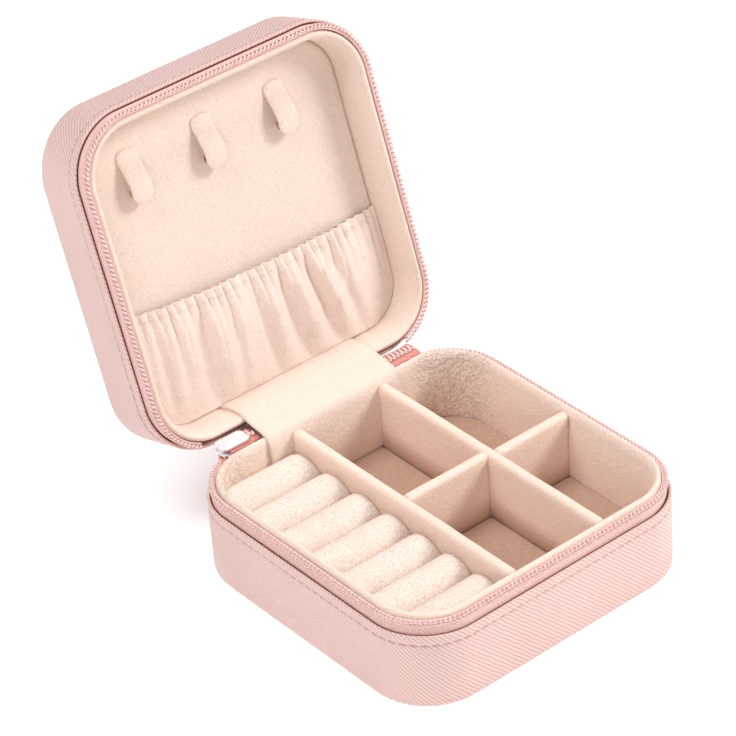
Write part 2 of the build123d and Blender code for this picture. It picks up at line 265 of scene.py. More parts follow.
class Shape:
    """Points, faces and UVs of a mesh under construction, in millimetres."""

    def __init__(self):
        self.points = []
        self.faces = []
        self.uvs = []

    def grid(self, rows, across, along, loop_rows=False, loop_columns=False):
        """Add a grid of points, with UVs: across for each row, along for each column.

        Returns the indices of each row's points.
        """
        row_count = len(rows)
        column_count = len(rows[0])
        first = len(self.points)
        for row in rows:
            self.points.extend(row)
        for i in range(row_count if loop_rows else row_count - 1):
            here = first + i * column_count
            beyond = first + (i + 1) % row_count * column_count
            for j in range(column_count if loop_columns else column_count - 1):
                k = (j + 1) % column_count
                self.faces.append((here + j, beyond + j, beyond + k, here + k))
                self.uvs += (
                    across[i], along[j], across[i + 1], along[j],
                    across[i + 1], along[j + 1], across[i], along[j + 1])
        starts = [first + i * column_count for i in range(row_count)]
        return [range(start, start + column_count) for start in starts]

    def closed_tube(self, rows, across, along, cap=None):
        """Add a grid whose columns close into a loop, and close its two ends."""
        made = self.grid(rows, across, along, loop_columns=True)
        cap = cap or self.cap
        cap(made[0])
        cap(made[-1])

    def cap(self, loop):
        """Close an open end with a fan round its middle."""
        loop = list(loop)
        middle = sum((Vector(self.points[k]) for k in loop), Vector()) / len(loop)
        centre = len(self.points)
        self.points.append(middle)
        for a, b in zip(loop, loop[1:] + loop[:1]):
            self.faces.append((a, b, centre))
            self.uvs += (0.0, 0.0, 0.5, 0.0, 0.25, 0.5)

    def cap_strip(self, loop):
        """Close the end of a thin bent strip, whose loop goes out on one face and back on the other."""
        loop = list(loop)
        for k in range(len(loop) // 2 - 1):
            self.faces.append((loop[k], loop[k + 1], loop[-2 - k], loop[-1 - k]))
            self.uvs += (0.0, 0.0, 0.5, 0.0, 0.5, 0.5, 0.0, 0.5)

    def tube(self, points, radius, sides):
        """Add a thin round tube along a list of points, closed at both ends."""
        rows = []
        for i, point in enumerate(points):
            run = (points[min(i + 1, len(points) - 1)] - points[max(i - 1, 0)]).normalized()
            side = run.orthogonal() if abs(run.z) > 0.95 else run.cross((0, 0, 1))
            side.normalize()
            up = side.cross(run)
            rows.append([point + (side * math.cos(a) + up * math.sin(a)) * radius for a in angles(sides)])
        self.closed_tube(rows, running_length(points), even(2 * math.pi * radius, sides))

    def finish(self, name, material, lid=False):
        """Make the object in metres, swung open if it belongs to the lid."""
        mesh = bpy.data.meshes.new(name)
        mesh.from_pydata(self.points, [], self.faces)
        mesh.uv_layers.new(name="millimetres").data.foreach_set("uv", self.uvs)
        mesh.transform(Matrix.Scale(MM, 4) @ (OPENED if lid else Matrix.Identity(4)))
        tidy = bmesh.new()
        tidy.from_mesh(mesh)
        bmesh.ops.recalc_face_normals(tidy, faces=tidy.faces)
        tidy.to_mesh(mesh)
        tidy.free()
        mesh.polygons.foreach_set("use_smooth", [True] * len(mesh.polygons))
        mesh.materials.append(material)
        made = bpy.data.objects.new(name, mesh)
        bpy.context.scene.collection.objects.link(made)
        return made


def even(length, count):
    """Distances at equal steps from 0 to a length."""
    return [length * i / count for i in range(count + 1)]


def angles(sides):
    """The angles of a regular polygon's corners."""
    return [2 * math.pi * k / sides for k in range(sides)]


def running_length(points, looped=False):
    """Distance along a list of points, with one more entry if it is looped."""
    total = [0.0]
    following = points[1:] + (points[:1] if looped else [])
    for a, b in zip(points, following):
        total.append(total[-1] + (b - a).length)
    return total


def ring(name, profile, material, lid=False, first=0.0, last=None, push=None):
    """Sweep a closed profile of (inset, z) points round the case, or round part of it.

    push(distance) gives how far the whole section moves inwards and up, for soft unevenness.
    """
    whole = last is None
    length = PERIMETER if whole else last - first
    count = round(length / RING_STEP)
    distances = [first + length * i / count for i in range(count if whole else count + 1)]
    rows = []
    for distance in distances:
        point, normal = rim(distance)
        inwards, up = push(distance) if push else (0, 0)
        rows.append([
            Vector((point.x - normal.x * (inset + inwards), point.y - normal.y * (inset + inwards), z + up))
            for inset, z in profile])
    shape = Shape()
    made = shape.grid(
        rows, distances + [first + length], running_length(profile, looped=True),
        loop_rows=whole, loop_columns=True)
    if not whole:
        shape.cap(made[0])
        shape.cap(made[-1])
    return shape.finish(name, material, lid)


def attach(made, body, node=None):
    """Ride a piece on a body, in place of a CAD node if one is given."""
    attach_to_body(made, body)
    if node:
        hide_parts(node)


# ---- materials

class Look:
    """A procedural material under construction."""

    def __init__(self, name, roughness, **settings):
        self.material = bpy.data.materials.new(name)
        self.material.use_nodes = True
        self.tree = self.material.node_tree
        self.shader = self.tree.nodes["Principled BSDF"]
        self.shader.inputs["Roughness"].default_value = roughness
        for socket, value in settings.items():
            self.shader.inputs[socket.replace("_", " ")].default_value = value

    def node(self, kind, links=(), values=(), **settings):
        """Add a node; links and values are pairs of (input, output or value)."""
        made = self.tree.nodes.new(kind)
        for key, value in settings.items():
            setattr(made, key, value)
        for socket, value in values:
            made.inputs[socket].default_value = value
        for socket, source in links:
            self.tree.links.new(source, made.inputs[socket])
        return made

    def millimetres(self, use_uv=False):
        """Coordinates in millimetres: the UV map's, or the object's."""
        source = self.node("ShaderNodeTexCoord").outputs["UV" if use_uv else "Object"]
        if use_uv:
            return source
        scaled = self.node(
            "ShaderNodeVectorMath", [(0, source)], [(3, 1 / MM)], operation="SCALE")
        return scaled.outputs[0]

    def noise(self, coordinates, size, detail=2.0, roughness=0.5, distortion=0.0):
        """Noise whose features are about size millimetres across, from 0 to 1."""
        made = self.node(
            "ShaderNodeTexNoise", [("Vector", coordinates)],
            [("Scale", 1 / size), ("Detail", detail), ("Roughness", roughness), ("Distortion", distortion)])
        return made.outputs["Fac"]

    def math(self, operation, a, b=0.0):
        """An operation on outputs or numbers."""
        made = self.node("ShaderNodeMath", operation=operation)
        for index, value in enumerate((a, b)):
            if isinstance(value, (int, float)):
                made.inputs[index].default_value = value
            else:
                self.tree.links.new(value, made.inputs[index])
        return made.outputs[0]

    def plus(self, a, b):
        return self.math("ADD", a, b)

    def times(self, a, b):
        return self.math("MULTIPLY", a, b)

    def wave(self, place, period):
        """A sine wave along an output in millimetres."""
        return self.math("SINE", self.times(place, 2 * math.pi / period))

    def axes(self, coordinates):
        """The X and Y of coordinates."""
        split = self.node("ShaderNodeSeparateXYZ", [("Vector", coordinates)])
        return split.outputs["X"], split.outputs["Y"]

    def ramp(self, value, low, high, low_result=0.0, high_result=1.0):
        """Map low..high to the two results, smoothly, and hold them outside."""
        made = self.node("ShaderNodeMapRange", [("Value", value)], [
            ("From Min", low), ("From Max", high),
            ("To Min", low_result), ("To Max", high_result)], interpolation_type="SMOOTHSTEP")
        return made.outputs["Result"]

    def mix(self, factor, colour_a, colour_b):
        """A colour between two, each a colour or an output."""
        made = self.node("ShaderNodeMix", [("Factor", factor)], data_type="RGBA")
        for index, colour in ((6, colour_a), (7, colour_b)):
            if isinstance(colour, tuple):
                made.inputs[index].default_value = (*colour, 1)
            else:
                self.tree.links.new(colour, made.inputs[index])
        return made.outputs[2]

    def cloudy(self, value, low, high, colour_a, colour_b):
        """Colour the surface between two colours, as a value goes from low to high."""
        self.colour(self.mix(self.ramp(value, low, high), colour_a, colour_b))

    def colour(self, output):
        self.tree.links.new(output, self.shader.inputs["Base Color"])

    def bump(self, height, depth, strength=1.0):
        """Raise the surface by depth millimetres where height is 1."""
        made = self.node(
            "ShaderNodeBump", [("Height", height)], [("Distance", depth * MM), ("Strength", strength)])
        self.tree.links.new(made.outputs["Normal"], self.shader.inputs["Normal"])


def leather_material():
    """Pink cross-grain leather: slanting ridges, finer ridges across them, and a pebbled grain."""
    look = Look("pink_leather", 0.48, Specular_IOR_Level=0.35, Coat_Weight=0.05, Coat_Roughness=0.4)
    uv = look.millimetres(use_uv=True)
    across, down = look.axes(uv)
    warp = look.times(look.noise(uv, 3.2), 0.7)
    slant = math.sqrt(0.5)
    ridges = look.wave(look.plus(look.times(look.math("SUBTRACT", across, down), slant), warp), 1.0)
    crosses = look.wave(look.plus(look.times(look.plus(across, down), slant), warp), 0.62)
    grain = look.noise(uv, 0.5, detail=3)
    height = look.plus(look.times(ridges, 0.34), look.times(crosses, 0.12))
    height = look.plus(look.plus(height, 0.5), look.times(grain, 0.5))
    patch = look.noise(look.millimetres(), 22)
    base = look.mix(look.ramp(patch, 0.3, 0.7), (0.64, 0.375, 0.345), (0.68, 0.42, 0.39))
    # painted highlight: the ridges' crests are paler than the leather between them
    look.cloudy(height, 0.35, 1.2, base, (0.80, 0.62, 0.59))
    look.bump(height, 0.16, 0.55)
    return look.material


def velvet_material(name, light, shade, wrinkled=False):
    """Short-pile velvet: flecked pebbly nap, faint patches where the pile lies another way, and sheen.

    Wrinkled velvet is also crumpled where it is drawn round the two back corners, and painted darker in the
    hollows of those wrinkles as shade.
    """
    look = Look(name, 0.92, Specular_IOR_Level=0.1, Sheen_Weight=0.22, Sheen_Roughness=0.45)
    look.shader.inputs["Sheen Tint"].default_value = (1.0, 0.93, 0.87, 1)
    here = look.millimetres()
    fleck = look.noise(here, 0.5, detail=3, roughness=0.6, distortion=0.9)
    patch = look.noise(here, 9.0, detail=2)
    nap_colour = look.mix(look.ramp(fleck, 0.36, 0.56), shade, light)
    laid = look.mix(look.ramp(patch, 0.25, 0.75, 0.0, 0.22), nap_colour, shade)
    tuft = look.plus(fleck, look.times(patch, 0.5))
    tuft = look.plus(tuft, look.times(look.noise(here, 1.2, distortion=0.6), 0.9))
    if wrinkled:
        x, y = look.axes(here)
        corner = look.times(look.ramp(look.math("ABSOLUTE", x), 26, 36), look.ramp(y, 22, 36))
        pebble = look.noise(here, 1.3, detail=2, distortion=1.2)
        wrinkle = look.times(look.ramp(pebble, 0.35, 0.6), corner)
        tuft = look.plus(tuft, look.times(wrinkle, 1.3))
        # painted shade: the wrinkles' hollows at the back corners are darkened
        low = look.times(look.ramp(pebble, 0.38, 0.52, 1.0, 0.0), corner)
        laid = look.mix(look.times(low, 0.45), laid, (0.58, 0.42, 0.34))
    look.colour(laid)
    look.bump(tuft, 0.5, 0.6)
    return look.material


def tape_material(name, light, shade):
    """Woven zipper tape: a fine herringbone."""
    look = Look(name, 0.85, Specular_IOR_Level=0.15, Sheen_Weight=0.2)
    uv = look.millimetres(use_uv=True)
    along, across = look.axes(uv)
    rib = look.wave(look.plus(along, look.math("PINGPONG", across, 0.6)), 0.8)
    weft = look.wave(across, 0.42)
    weave = look.plus(look.times(rib, 0.4), look.times(weft, 0.12))
    weave = look.plus(weave, look.noise(uv, 0.8))
    look.cloudy(weave, 0.1, 0.9, shade, light)
    look.bump(weave, 0.12, 0.7)
    return look.material


def coil_material():
    """Nylon coil, slightly clouded."""
    look = Look("zipper_coil", 0.36, Specular_IOR_Level=0.45)
    cloud = look.noise(look.millimetres(), 2.2, detail=3)
    look.cloudy(cloud, 0.3, 0.7, (0.86, 0.60, 0.57), (0.93, 0.72, 0.69))
    look.bump(look.noise(look.millimetres(), 0.3), 0.03, 0.4)
    return look.material


def thread_material(name, light, shade):
    """Twisted sewing thread."""
    look = Look(name, 0.6, Specular_IOR_Level=0.3, Sheen_Weight=0.15)
    along, around = look.axes(look.millimetres(use_uv=True))
    twist = look.wave(look.plus(along, around), 0.5)
    look.cloudy(twist, -1, 1, shade, light)
    look.bump(twist, 0.05, 0.6)
    return look.material


def metal_material(name, light, shade, roughness, metallic):
    """Plated or lacquered metal with fine scratches and cloudy wear."""
    look = Look(name, roughness, Metallic=metallic)
    here = look.millimetres()
    cloud = look.noise(here, 2.5, detail=3)
    scratch = look.noise(here, 0.25, detail=2)
    look.cloudy(cloud, 0.3, 0.7, shade, light)
    rough = look.ramp(scratch, 0.3, 0.8, roughness * 0.8, min(1.0, roughness * 1.4))
    look.tree.links.new(rough, look.shader.inputs["Roughness"])
    look.bump(scratch, 0.02, 0.4)
    return look.material


def gap_shade_board_material():
    """Pressed board with fibres, in dark red-brown: painted shade for the dark line between the leather's
    edge and the zipper tape.
    """
    look = Look("board", 0.9)
    fibre = look.noise(look.millimetres(), 0.7, detail=4, roughness=0.7)
    # painted shade: the board's dark red-brown colour
    look.cloudy(fibre, 0.3, 0.7, (0.30, 0.10, 0.07), (0.46, 0.19, 0.15))
    look.bump(fibre, 0.1, 0.6)
    return look.material


def foam_material():
    """Open-cell foam."""
    look = Look("foam", 0.95)
    cells = look.node("ShaderNodeTexVoronoi", [("Vector", look.millimetres())], [("Scale", 1 / 0.6)])
    depth = cells.outputs["Distance"]
    look.cloudy(depth, 0.1, 0.6, (0.62, 0.58, 0.50), (0.84, 0.81, 0.74))
    look.bump(depth, 0.3, 0.7)
    return look.material


LEATHER = leather_material()
VELVET = velvet_material("velvet", (0.92, 0.755, 0.66), (0.84, 0.66, 0.565))
# painted light: a brighter copy of the velvet for the base's walls, whose wrinkled back corners also get
# painted shade in their hollows
WALL_LIT_AND_SHADED_VELVET = velvet_material("velvet_base_wall_painted_light_and_shade", (0.95, 0.78, 0.68), (0.87, 0.68, 0.58), wrinkled=True)
# painted light: a brighter, more peach copy of the velvet for the dividers' shaded faces
DIVIDER_LIT_VELVET = velvet_material("velvet_dividers_painted_light", (0.97, 0.77, 0.66), (0.90, 0.68, 0.57))
# painted shade: the dark velvet of the sheets that show in the pads' creases
CREASE_SHADE_VELVET = velvet_material("velvet_painted_crease_shade", (0.62, 0.40, 0.31), (0.50, 0.30, 0.22))
# a lighter, whiter copy of the velvet for the pocket: partly the pocket cloth's own cream, partly painted
# light for its shaded left side
POCKET_TONE_AND_LIT_VELVET = velvet_material("velvet_pocket_tone_and_painted_light", (0.96, 0.80, 0.715), (0.88, 0.70, 0.62))
# painted shade: a darker, browner copy of the velvet for the compartments' floors, deep between the walls
FLOOR_SHADE_VELVET = velvet_material("velvet_floors_painted_shade", (0.62, 0.42, 0.325), (0.51, 0.325, 0.24))
ROLL_VELVET = velvet_material("velvet_rolls", (0.92, 0.79, 0.71), (0.72, 0.575, 0.495))
TAPE = tape_material("zipper_tape", (0.91, 0.67, 0.63), (0.77, 0.44, 0.40))
# painted shade: a dark crimson copy of the tape for the joined ends, deep in the gap between base and lid
SHADED_FOLDED_TAPE = tape_material("zipper_tape_folded_painted_shade", (0.80, 0.40, 0.35), (0.56, 0.17, 0.13))
COIL = coil_material()
STITCH = thread_material("leather_thread", (0.70, 0.42, 0.38), (0.50, 0.26, 0.23))
COIL_THREAD = thread_material("zipper_thread", (0.93, 0.72, 0.70), (0.80, 0.50, 0.48))
POCKET_THREAD = thread_material("pocket_thread", (0.95, 0.90, 0.85), (0.80, 0.72, 0.66))
SLIDER_METAL = metal_material("slider_lacquer", (0.93, 0.87, 0.90), (0.84, 0.76, 0.80), 0.32, 0.2)
PULL_METAL = metal_material("rose_metal", (0.76, 0.36, 0.26), (0.55, 0.22, 0.15), 0.30, 0.9)
SNAP_METAL = metal_material("aged_brass", (0.62, 0.42, 0.24), (0.26, 0.15, 0.08), 0.3, 0.9)
GAP_SHADE_BOARD = gap_shade_board_material()
FOAM = foam_material()
ELASTIC = thread_material("elastic_rib", (0.88, 0.80, 0.72), (0.70, 0.60, 0.52))


# ---- leather shells and stitching

def soft_edge(amount, size, seed):
    """A push for ring(): slow waves in and out, as in hand-turned leather."""
    def push(distance):
        angle = distance / PERIMETER * 2 * math.pi
        x, y = 30 * math.cos(angle), 30 * math.sin(angle)
        return amount * wobble(x, y, size, seed), amount * 0.5 * wobble(x, y, size, seed + 1)
    return push


def side_profile(edge, away, reach):
    """A folded leather side: edge is its free edge's height, away +1 if the leather goes down from it.

    The profile starts at the folded edge, goes down the outside, turns under and comes back inside.
    """
    def at(distance):
        return edge - away * distance
    return smooth_profile([
        (0.35, at(0.0), 0.25), (0.0, at(0.25), 0.3), (-0.06, at(1.8), 0.5),
        (0.0, at(STITCH_BELOW_EDGE - GROOVE_REACH), 0.4), (GROOVE_DEPTH, at(STITCH_BELOW_EDGE), 0.35),
        (0.0, at(STITCH_BELOW_EDGE + GROOVE_REACH), 0.4), (0.0, at(reach - 1.3), 0.8),
        (0.12, at(reach - 0.2), 0.7), (1.4, at(reach), 0.6), (3.2, at(reach), 0),
        (3.2, at(reach - 0.7), 0), (1.1, at(reach - 1.6), 0.5), (0.95, at(1.2), 0.5),
        (0.75, at(0.1), 0.25)])


def leather_shells():
    """The sides of the base and lid, and the panels that close them."""
    base = ring(
        "base_side_leather_skin", side_profile(BASE_EDGE, 1, BASE_EDGE - 0.05), LEATHER,
        push=soft_edge(0.07, 16, 1))
    attach(base, "base", "base_side_leather")
    lid_side = ring(
        "lid_side_leather_skin", side_profile(LID_EDGE, -1, LID_TOP - LID_EDGE), LEATHER, lid=True,
        push=soft_edge(0.07, 16, 3))
    attach(lid_side, "lid", "lid_side_leather")
    plate("base_bottom_skin", 0.1, 1, 0.0, "base", "base_bottom_leather", False)
    plate("lid_top_skin", LID_TOP - 0.15, -1, 0.9, "lid", "lid_top_leather", True)


def plate(name, level, inward, crown, body, node, lid):
    """The leather panel inside the turned edge of a shell, a little crowned."""
    insets = [3.3, 2.6, 2.3, 2.6, 3.4, 4.5, 7, 10, 14, 18, 24, 31, 38, 44, 49]
    lifts = [0.9, 0.8, 0.45, 0.12] + [0.0] * 11
    follows_rim = CORNER_RADIUS - 2
    distances = even(PERIMETER, round(PERIMETER / RING_STEP))
    rows = []
    for distance in distances[:-1]:
        point, normal = rim(distance)
        row = []
        for inset, lift in zip(insets, lifts):
            share = 1 - inset / HALF
            spot = point - normal * min(inset, follows_rim)
            if inset > follows_rim:
                spot *= share / (1 - follows_rim / HALF)
            rise = crown * (1 - share ** 4) * min(1.0, max(0.0, (inset - 2.6) / 6))
            row.append(Vector((*spot, level + inward * (lift - rise))))
        rows.append(row)
    shape = Shape()
    made = shape.grid(rows, distances, insets, loop_rows=True)
    shape.cap([row[-1] for row in made])
    shape.uvs = [shape.points[k][axis] for face in shape.faces for k in face for axis in (0, 1)]
    attach(shape.finish(name, LEATHER, lid), body, node)


def stitching(name, level, body, lid):
    """A row of stitches lying in the groove round a leather side."""
    shape = Shape()
    count = round(PERIMETER / STITCH_PITCH)
    rng = random.Random(11 if lid else 5)
    for index in range(count):
        start = PERIMETER * index / count
        tilt = rng.uniform(-0.07, 0.07)
        points = []
        for step in range(7):
            t = step / 6
            sunk = 0.14 - 0.14 * math.sin(math.pi * t) ** 0.5
            points.append(rim_point(
                start + STITCH_LENGTH * t, 0.12 + sunk, level + tilt * (t - 0.5) * 2))
        shape.tube(points, STITCH_THICKNESS / 2, WIRE_SIDES)
    attach(shape.finish(name, STITCH, lid), body)


# ---- linings

def lining_profile(lip, towards, bottom):
    """A padded lining wall from its lip's height to its bottom. towards is +1 if the lip is up."""
    def at(distance):
        return lip - towards * distance
    reach = abs(lip - bottom)
    outside, inside = LINING_OUTSIDE - 0.3, LINING_INSIDE
    return smooth_profile([
        (outside + 0.7, at(0), 0.8), (outside + 1.55, at(0.3), 0.7), (outside + 2.3, at(1.7), 1.2),
        (inside - 0.15, at(reach * 0.35), 2.5), (inside, at(reach * 0.7), 2.0),
        (inside + 0.05, at(reach - 0.3), 0.3), (inside - 0.6, at(reach), 0.3),
        (outside + 0.4, at(reach), 0.3), (outside, at(reach * 0.5), 2.0), (outside, at(0.9), 0.6)], steps=6)


def linings():
    """The velvet walls of the base and lid."""
    base_wall = ring(
        "base_lining_wall_velvet", lining_profile(BASE_LIP, 1, FLOOR - 0.8), WALL_LIT_AND_SHADED_VELVET,
        push=soft_edge(0.16, 9, 5))
    attach(base_wall, "base", "base_lining_wall")
    lid_wall = ring(
        "lid_lining_wall_velvet", lining_profile(LID_LIP, -1, LID_PANEL + 0.9), VELVET, lid=True,
        push=soft_edge(0.16, 9, 7))
    attach(lid_wall, "lid", "lid_lining_wall")


def pad(name, sides, radii, level, upward, crown, inset, material, lid=False):
    """A flat velvet pad with turned-down edges.

    sides are its left, right, front and back; radii are for the corners from left-front, anticlockwise.
    """
    left, right, front, back = sides
    centres = (
        (left + radii[0], front + radii[0], math.pi), (right - radii[1], front + radii[1], 1.5 * math.pi),
        (right - radii[2], back - radii[2], 0.0), (left + radii[3], back - radii[3], 0.5 * math.pi))
    outline = []
    for (x, y, start), radius in zip(centres, radii):
        for step in range(PAD_CORNER_STEPS + 1):
            angle = start + math.pi / 2 * step / PAD_CORNER_STEPS
            outline.append(Vector((x + radius * math.cos(angle), y + radius * math.sin(angle))))
    dense = []
    for a, b in zip(outline, outline[1:] + outline[:1]):
        steps = max(1, round((b - a).length / 1.6))
        dense += [a.lerp(b, k / steps) for k in range(steps)]
    middle = Vector(((left + right) / 2, (front + back) / 2))
    size = min(right - left, back - front) / 2
    shape = Shape()
    rows = []
    for point in dense:
        away = point - middle
        row = []
        for share in PAD_RINGS:
            spot = middle + away * share * (1 - inset / size)
            bulge = crown * (1 - share ** 6) + 0.12 * wobble(spot.x, spot.y, 7, 2)
            row.append(Vector((*spot, level + upward * bulge)))
        for share, drop in PAD_EDGE:
            spot = point - away.normalized() * (inset * share)
            row.append(Vector((*spot, level - upward * drop)))
        rows.append(row)
    across = running_length([p.to_3d() for p in dense], looped=True)
    made = shape.grid(rows, across, list(range(len(rows[0]))), loop_rows=True)
    shape.cap([row[0] for row in made])
    return shape.finish(name, material, lid)


def floor_and_panel():
    """The velvet under the compartments and over the lid's panel. Painted shade: each lies on a dark velvet
    sheet that shows in its creases, and the compartments' floor pads are a darker copy of the velvet.
    """
    inner = HALF - LINING_INSIDE
    corner = CORNER_RADIUS - LINING_INSIDE
    sharp = PAD_CORNER
    whole = (-inner + PAD_GAP, inner - PAD_GAP, -inner + PAD_GAP, inner - PAD_GAP)
    # painted shade: dark sheets under the floor pads and the lid's panel, seen in the creases between them
    under = pad("base_floor_crease_shade", whole, (corner,) * 4, FLOOR - 0.45, 1, 0.0, 0.1, CREASE_SHADE_VELVET)
    attach(under, "base", "base_lining_floor")
    panel_shade_sheet = pad(
        "lid_panel_crease_shade", whole, (corner,) * 4, LID_PANEL + 0.6, -1, 0.0, 0.0, CREASE_SHADE_VELVET, lid=True)
    attach(panel_shade_sheet, "lid")
    left_wall = cad("ring_divider")[1].x
    middle_left, middle_right = (side.x for side in cad("middle_divider"))
    left_front, left_back = (side.y for side in cad("left_cross_divider"))
    right_front, right_back = (side.y for side in cad("right_cross_divider"))
    for name, left, right, front, back, radii in (
            ("back_middle_floor", left_wall, middle_left, left_back, inner, (sharp,) * 4),
            ("front_middle_floor", left_wall, middle_left, -inner, left_front, (sharp,) * 4),
            ("back_right_floor", middle_right, inner, right_back, inner, (sharp, sharp, corner, sharp)),
            ("front_right_floor", middle_right, inner, -inner, right_front, (sharp, corner, sharp, sharp))):
        sides = (left + PAD_GAP, right - PAD_GAP, front + PAD_GAP, back - PAD_GAP)
        # painted shade: the floor pads are darker than the walls' velvet
        attach(pad(name, sides, radii, FLOOR, 1, 0.25, 0.12, FLOOR_SHADE_VELVET), "base")
    panel = pad("lid_panel_velvet", whole, (corner,) * 4, LID_PANEL, -1, 0.35, 0.2, VELVET, lid=True)
    attach(panel, "lid", "lid_panel")


# ---- dividers and ring rolls

def divider(node, body, seed):
    """A velvet-wrapped board with a soft rounded top, a little uneven along its length."""
    low, high = cad(node)
    middle = (low + high) / 2
    wide, deep, tall = high - low
    along_x = wide > deep
    length = max(wide, deep)
    half = min(wide, deep) / 2
    profile = smooth_profile([
        (0, tall, 0.8), (half * 0.8, tall - 0.35, 0.9), (half, tall - 1.9, 1.2),
        (half - 0.12, tall * 0.5, 3.0), (half, -DIVIDER_SUNK, 0),
        (-half, -DIVIDER_SUNK, 0), (-half + 0.12, tall * 0.5, 3.0),
        (-half, tall - 1.9, 1.2), (-half * 0.8, tall - 0.35, 0.9)])
    count = max(8, round(length / RING_STEP))
    rows = []
    for i in range(count + 1):
        place = (length + 2 * DIVIDER_REACH) * i / count - DIVIDER_REACH
        from_end = min(place, length - place) + DIVIDER_REACH
        shrink = 1 - 0.10 * max(0, 1 - from_end / DIVIDER_END) ** 2
        row = []
        for side, z in profile:
            sideways = side * shrink + 0.12 * wobble(place, z * 0.5, 11, seed)
            height = low.z + z + 0.10 * wobble(place, 0, 8, seed + 3) * (z / tall)
            if along_x:
                row.append(Vector((low.x + place, middle.y + sideways, height)))
            else:
                row.append(Vector((middle.x + sideways, low.y + place, height)))
        rows.append(row)
    shape = Shape()
    shape.closed_tube(rows, even(length, count), running_length(profile, looped=True))
    attach(shape.finish(node + "_velvet", DIVIDER_LIT_VELVET), body, node)


def ring_roll(number):
    """One velvet roll: a soft sausage whose right end rounds down at the divider."""
    node = f"ring_roll_{number}"
    low, high = cad(node)
    half = (high.y - low.y) / 2
    middle = (low.y + high.y) / 2
    right = high.x + 0.05
    side_inset = LINING_INSIDE - 0.9
    rows = []
    for i in range(ROLL_STEPS + 1):
        t = 1 - (1 - i / ROLL_STEPS) ** 1.35
        row = []
        for angle in angles(ROLL_SIDES):
            reach = math.copysign(abs(math.cos(angle)) ** 0.9, math.cos(angle))
            lift = math.sin(angle)
            y = middle + half * reach
            left = -inner_half_width(y, side_inset)
            x = left + (right - left) * t
            close = max(0.0, 1 - (right - x) / ROLL_END)
            shrink = 0.16 + 0.84 * math.sqrt(max(0.0, 1 - close ** 2.4))
            y = middle + (y - middle) * (1 - 0.08 * close ** 2)
            soft = 0.20 * wobble(x, y, 5.5, number) + 0.10 * wobble(x, y * 0.4, 2.2, number + 9)
            if lift >= 0:
                z = ROLL_CREASE + (high.z - ROLL_CREASE) * lift * shrink + soft * lift
            else:
                z = ROLL_CREASE - (ROLL_CREASE - low.z) * abs(lift) ** 0.6
            row.append(Vector((x, y, z)))
        rows.append(row)
    shape = Shape()
    shape.closed_tube(rows, even(right - low.x, ROLL_STEPS), even(2 * half, ROLL_SIDES))
    attach(shape.finish(node + "_velvet", ROLL_VELVET), "base", node)


# ---- zipper

def zip_limits(inset):
    """Where a zipper half starts and ends, as distances round from mid-back."""
    return rim_reaches(-ZIP_LEFT, inset), PERIMETER - rim_reaches(ZIP_RIGHT, inset)


def tape(name, hidden_end, visible_end, edge, towards, body, node, lid):
    """Woven tape: behind the board at its hidden end, stepping out to the coil above the leather's edge."""
    first, last = zip_limits(TAPE_INSET)
    outer = COIL_INSET + 0.3
    inner = TAPE_INSET + 0.45
    step = edge - towards * 0.35
    crest = visible_end - towards * 0.4
    bends = [
        (TAPE_INSET, step - towards * 0.9), (outer, step), (COIL_INSET + 1.0, crest),
        (TAPE_INSET, visible_end), (inner, visible_end)]
    profile = smooth_profile(
        [(TAPE_INSET, hidden_end, 0)] + [(*bend, TAPE_BEND) for bend in bends] + [(inner, hidden_end, 0)])
    made = ring(name, profile, TAPE, lid, first, last, push=soft_edge(0.05, 5, 9))
    attach(made, body, node)


def coil(name, low, high, body, node, lid):
    """A flattened nylon helix round the case, held to the tape's edge by two rows of sewing."""
    inset = COIL_INSET + COIL_HALF_DEPTH
    first, last = zip_limits(inset)
    length = last - first
    turns = round(length / TOOTH_PITCH)
    middle = (low + high) / 2
    tall = (high - low) / 2 - WIRE_RADIUS
    deep = COIL_HALF_DEPTH - WIRE_RADIUS
    points = []
    for step in range(turns * TURN_POINTS + 1):
        whole, part = divmod(step / TURN_POINTS, 1)
        angle = 2 * math.pi * part
        up = math.copysign(abs(math.sin(angle)) ** 0.7, math.sin(angle))
        # each turn goes slowly up the outside and quickly back behind it
        along = whole + 0.5 * min(part, 0.5) + 1.5 * max(0.0, part - 0.5)
        points.append(rim_point(
            first + length * along / turns, inset - deep * math.cos(angle), middle + tall * up))
    shape = Shape()
    shape.tube(points, WIRE_RADIUS, WIRE_SIDES)
    attach(shape.finish(name, COIL, lid), body, node)
    rows = Shape()
    count = round(length / TOOTH_PITCH * 2)
    for height in (-ROW_HEIGHT, ROW_HEIGHT):
        rows.tube([
            rim_point(first + length * step / count, COIL_INSET + ROW_WAVE * (-1) ** step, middle + height)
            for step in range(count + 1)], ROW_THICKNESS / 2, THREAD_SIDES)
    attach(rows.finish(name + "_sewing", COIL_THREAD, lid), body)


def zipper():
    """Both halves of the zipper, tapes before coils."""
    base_tape_low = cad("base_zipper_tape")[0].z
    lid_tape_high = cad_shut("lid_zipper_tape")[1].z
    tape(
        "base_zipper_tape_weave", base_tape_low, BASE_COIL_HIGH - 0.7, BASE_EDGE, 1,
        "base", "base_zipper_tape", False)
    tape(
        "lid_zipper_tape_weave", lid_tape_high, LID_COIL_LOW + 0.7, LID_EDGE, -1,
        "lid", "lid_zipper_tape", True)
    coil("base_zipper_teeth", BASE_COIL_LOW, BASE_COIL_HIGH, "base", "base_zipper_coil", False)
    coil("lid_zipper_teeth", LID_COIL_LOW, LID_COIL_HIGH, "lid", "lid_zipper_coil", True)


# ---- hinge

